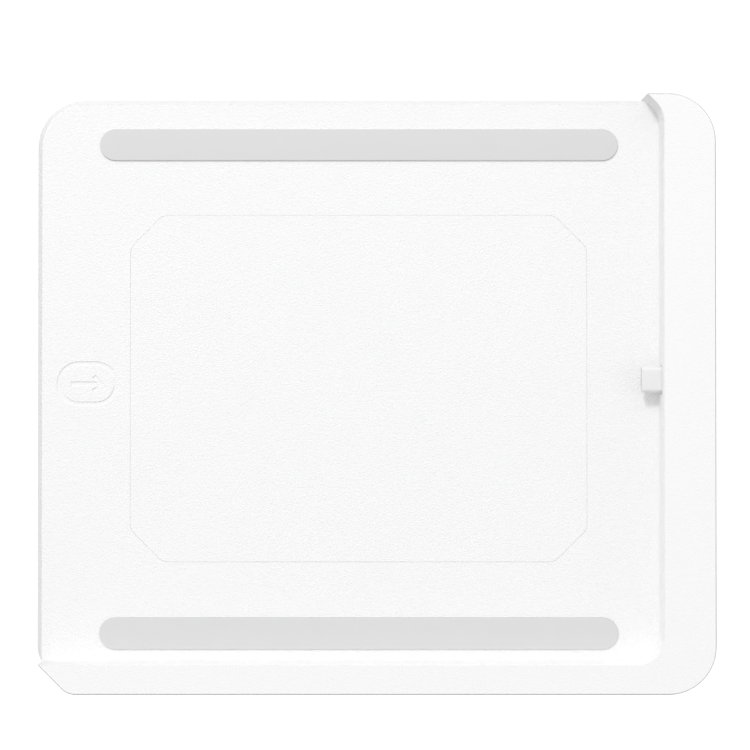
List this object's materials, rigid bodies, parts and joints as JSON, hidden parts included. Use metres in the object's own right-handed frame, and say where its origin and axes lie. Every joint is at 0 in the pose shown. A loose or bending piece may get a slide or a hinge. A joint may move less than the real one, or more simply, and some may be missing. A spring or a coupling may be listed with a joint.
{
  "type": "tablet security docking tray",
  "caption": "Moulded tray with an L-shaped rim that a tablet slides into; a plug in the side rim docks it, and a lift-off panel covers the wall fixings.",
  "frame": {"origin": "centre of the bounding box's bottom face, in the plane of the feet", "axes": "+X along the long side towards the plug rim, +Y up the short side away from the lower rim, +Z out of the plate towards the tablet"},
  "size_m": [0.2178, 0.1916, 0.019],
  "materials": {
    "white_shell": "fine spark-eroded texture, smoother on the rim",
    "grey_rubber": "smooth matt silicone",
    "dark_rubber": "matt",
    "zinc_steel": "zinc plated",
    "bright_steel": "ground",
    "plug_steel": "white powder finish, satin",
    "brass": "knurled",
    "black_plastic": "glass-filled nylon",
    "white_overmould": "soft-touch",
    "white_cable": "smooth jacket",
    "green_board": "solder mask",
    "magnet_nickel": "nickel plated",
    "gold_contact": "gold flash"
  },
  "bodies": {
    "tray": {"front_tray": "white_shell", "rear_shell": "white_shell", "grip_strip_upper": "grey_rubber", "grip_strip_lower": "grey_rubber", "mount_plate": "zinc_steel", "shell_inserts": "brass", "shell_screws": "zinc_steel", "foot_upper_left": "dark_rubber", "foot_upper_right": "dark_rubber", "foot_lower_left": "dark_rubber", "foot_lower_right": "dark_rubber", "cable_grommet": "dark_rubber", "plug_bracket": "black_plastic", "bracket_screws": "zinc_steel", "guide_rods": "bright_steel", "rod_clips": "zinc_steel", "float_spring_upper": "bright_steel", "float_spring_lower": "bright_steel", "power_lead": "white_cable", "lead_clips": "black_plastic", "inlet_board": "green_board", "inlet_socket_shell": "bright_steel", "inlet_socket_tongue": "black_plastic", "inlet_cover": "black_plastic", "inlet_screws": "zinc_steel", "panel_magnets": "magnet_nickel"},
    "plug": {"plug_shell": "plug_steel", "plug_insulator": "black_plastic", "plug_contacts": "gold_contact", "plug_overmould": "white_overmould", "plug_carriage": "black_plastic"},
    "panel": {"access_panel": "white_shell", "panel_discs": "zinc_steel"}
  },
  "joints": [
    {"name": "plug_float", "type": "slide", "parent": "tray", "child": "plug", "axis": [0, 1, 0], "range_m": [-0.0004, 0.0004], "stiffness_N_per_m": 400, "deforming": ["float_spring_upper", "float_spring_lower", "power_lead"]},
    {"name": "access_panel_lift", "type": "slide", "parent": "tray", "child": "panel", "axis": [0, 0, 1], "range_m": [0, 0.03]}
  ]
}
